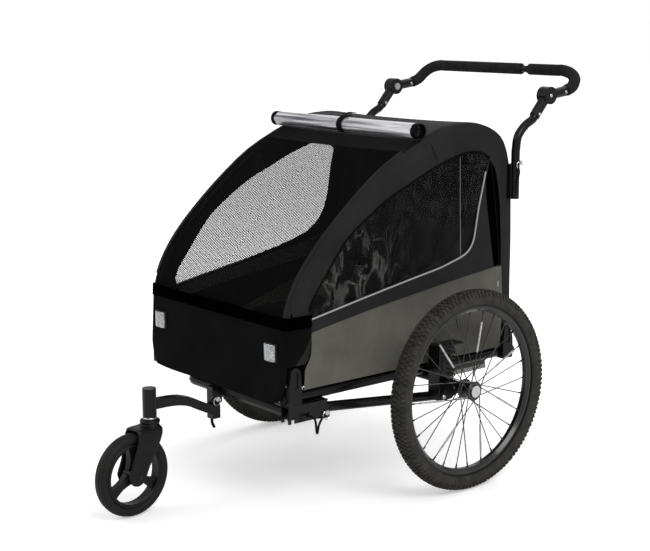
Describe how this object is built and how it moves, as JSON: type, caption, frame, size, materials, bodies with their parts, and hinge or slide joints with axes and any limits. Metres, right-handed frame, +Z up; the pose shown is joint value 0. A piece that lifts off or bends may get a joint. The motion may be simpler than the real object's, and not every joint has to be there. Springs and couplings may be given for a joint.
{
  "type": "child bike trailer",
  "caption": "Two-seat child bike trailer in stroller mode: folding hoops with a cloth cabin, sprung spoked wheels, swivel caster, tow arm and tilting handlebar.",
  "frame": {"origin": "on the ground, under the middle of the trailer's whole length and width", "axes": "+Z up, -Y towards the caster wheel at the front, +X to the seated child's left"},
  "size_m": [0.797, 1.3289, 1.0179],
  "materials": {
    "black_steel": "gloss black powder coat",
    "black_plastic": "satin moulded",
    "black_cloth": "woven polyester",
    "grey_cloth": "woven polyester",
    "mesh_cloth": "fine insect mesh",
    "clear_film": "clear glossy film",
    "tyre_rubber": "matt rubber",
    "grip_foam": "closed-cell foam",
    "wheel_metal": "black rim, spokes and hub",
    "bare_steel": "bright zinc",
    "grey_plastic": "satin",
    "spring_steel": "black spring steel"
  },
  "bodies": {
    "base": {"base_frame": "black_steel", "front_beam": "black_steel", "tow_receiver": "black_steel", "bracket_front_left": "black_plastic", "bracket_front_right": "black_plastic", "bracket_rear_left": "black_plastic", "bracket_rear_right": "black_plastic", "canopy": "black_cloth", "front_screen": "mesh_cloth", "front_panel": "black_cloth", "rain_roll": "clear_film", "roll_strap": "black_cloth", "floor": "black_cloth", "seat": "black_cloth", "seat_back": "black_cloth", "tower_left": "black_steel", "tower_right": "black_steel", "spring_left": "spring_steel", "spring_right": "spring_steel", "jogger_arm": "black_steel", "leash_jogger": "black_cloth"},
    "handle_posts": {"post_left": "black_steel", "post_right": "black_steel", "hub_lower_left": "black_plastic", "hub_lower_right": "black_plastic"},
    "handlebar_frame": {"handlebar": "black_steel", "grip_left": "grip_foam", "grip_right": "grip_foam", "hub_upper_left": "black_plastic", "hub_upper_right": "black_plastic"},
    "jogger_pin": {"jogger_pin": "bare_steel"},
    "swivel_fork": {"fork": "black_plastic"},
    "caster_wheel": {"caster_rim": "black_plastic", "caster_tyre": "tyre_rubber"},
    "tow_arm": {"tow_arm": "black_steel", "leash_tow": "black_cloth"},
    "tow_pin": {"tow_pin": "bare_steel"},
    "hitch_coupler": {"hitch_coupler": "black_plastic"},
    "left_side": {"hoop_left": "black_steel", "side_cloth_left": "black_cloth", "side_window_left": "clear_film", "side_panel_left": "grey_cloth", "post_socket_left": "black_plastic"},
    "swing_arm_left": {"swing_arm_left": "black_plastic"},
    "wheel_left": {"tyre_left": "tyre_rubber", "wheel_left_rim": "wheel_metal"},
    "release_button_left": {"release_button_left": "bare_steel"},
    "hub_button_left": {"hub_button_left": "grey_plastic"},
    "handle_pin_left": {"handle_pin_left": "bare_steel"},
    "right_side": {"hoop_right": "black_steel", "side_cloth_right": "black_cloth", "side_window_right": "clear_film", "side_panel_right": "grey_cloth", "post_socket_right": "black_plastic"},
    "swing_arm_right": {"swing_arm_right": "black_plastic"},
    "wheel_right": {"tyre_right": "tyre_rubber", "wheel_right_rim": "wheel_metal"},
    "release_button_right": {"release_button_right": "bare_steel"},
    "hub_button_right": {"hub_button_right": "grey_plastic"},
    "handle_pin_right": {"handle_pin_right": "bare_steel"}
  },
  "joints": [
    {"name": "left_side_fold", "type": "hinge", "parent": "base", "child": "left_side", "pos_m": [0.262, 0.17286, 0.33], "axis": [0, -1, 0], "range_deg": [0, 90], "deforming": ["canopy", "front_screen", "front_panel", "rain_roll", "roll_strap", "seat", "seat_back", "side_cloth_left", "side_cloth_right", "side_window_left", "side_window_right", "side_panel_left", "side_panel_right"]},
    {"name": "right_side_fold", "type": "hinge", "parent": "base", "child": "right_side", "pos_m": [-0.262, 0.17286, 0.33], "axis": [0, 1, 0], "range_deg": [0, 58], "deforming": ["canopy", "front_screen", "front_panel", "rain_roll", "roll_strap", "seat", "seat_back", "side_cloth_left", "side_cloth_right", "side_window_left", "side_window_right", "side_panel_left", "side_panel_right"]},
    {"name": "handle_lift", "type": "slide", "parent": "base", "child": "handle_posts", "axis": [0, 0, 1], "range_m": [0, 0.11]},
    {"name": "handlebar_tilt", "type": "hinge", "parent": "handle_posts", "child": "handlebar_frame", "pos_m": [0, 0.52286, 0.947], "axis": [1, 0, 0], "range_deg": [-45, 75]},
    {"name": "fork_swivel", "type": "hinge", "parent": "base", "child": "swivel_fork", "pos_m": [0, -0.50814, 0.2225], "axis": [0, 0, 1], "continuous": true},
    {"name": "caster_spin", "type": "hinge", "parent": "swivel_fork", "child": "caster_wheel", "pos_m": [0.00566, -0.56486, 0.0995], "axis": [0.9951, 0.0993, 0], "continuous": true},
    {"name": "jogger_pin_pull", "type": "slide", "parent": "base", "child": "jogger_pin", "axis": [1, 0, 0], "range_m": [0, 0.04]},
    {"name": "tow_arm_swing", "type": "hinge", "parent": "base", "child": "tow_arm", "pos_m": [0.266, -0.25314, 0.246], "axis": [-1, 0, 0], "range_deg": [0, 173.9]},
    {"name": "tow_pin_pull", "type": "slide", "parent": "tow_arm", "child": "tow_pin", "axis": [1, 0, 0], "range_m": [0, 0.04]},
    {"name": "coupler_swivel", "type": "hinge", "parent": "tow_arm", "child": "hitch_coupler", "pos_m": [0.266, 0.17575, 0.21274], "axis": [0, 0.9943, -0.1063], "continuous": true},
    {"name": "suspension_left", "type": "hinge", "parent": "base", "child": "swing_arm_left", "pos_m": [0.3275, 0.12286, 0.233], "axis": [1, 0, 0], "range_deg": [-8, 8], "stiffness_Nm_per_rad": 120, "springref_deg": -2.86, "deforming": ["spring_left"]},
    {"name": "wheel_spin_left", "type": "hinge", "parent": "swing_arm_left", "child": "wheel_left", "pos_m": [0.375, 0.17286, 0.25], "axis": [1, 0, 0], "continuous": true},
    {"name": "release_button_left_press", "type": "slide", "parent": "wheel_left", "child": "release_button_left", "axis": [-1, 0, 0], "range_m": [0, 0.003], "stiffness_N_per_m": 300},
    {"name": "hub_button_left_press", "type": "slide", "parent": "handlebar_frame", "child": "hub_button_left", "axis": [1, 0, 0], "range_m": [0, 0.003], "stiffness_N_per_m": 300},
    {"name": "handle_pin_left_pull", "type": "slide", "parent": "handle_posts", "child": "handle_pin_left", "axis": [1, 0, 0], "range_m": [0, 0.04]},
    {"name": "suspension_right", "type": "hinge", "parent": "base", "child": "swing_arm_right", "pos_m": [-0.3275, 0.12286, 0.233], "axis": [1, 0, 0], "range_deg": [-8, 8], "stiffness_Nm_per_rad": 120, "springref_deg": -2.86, "deforming": ["spring_right"]},
    {"name": "wheel_spin_right", "type": "hinge", "parent": "swing_arm_right", "child": "wheel_right", "pos_m": [-0.375, 0.17286, 0.25], "axis": [1, 0, 0], "continuous": true},
    {"name": "release_button_right_press", "type": "slide", "parent": "wheel_right", "child": "release_button_right", "axis": [1, 0, 0], "range_m": [0, 0.003], "stiffness_N_per_m": 300},
    {"name": "hub_button_right_press", "type": "slide", "parent": "handlebar_frame", "child": "hub_button_right", "axis": [-1, 0, 0], "range_m": [0, 0.003], "stiffness_N_per_m": 300},
    {"name": "handle_pin_right_pull", "type": "slide", "parent": "handle_posts", "child": "handle_pin_right", "axis": [-1, 0, 0], "range_m": [0, 0.04]}
  ]
}
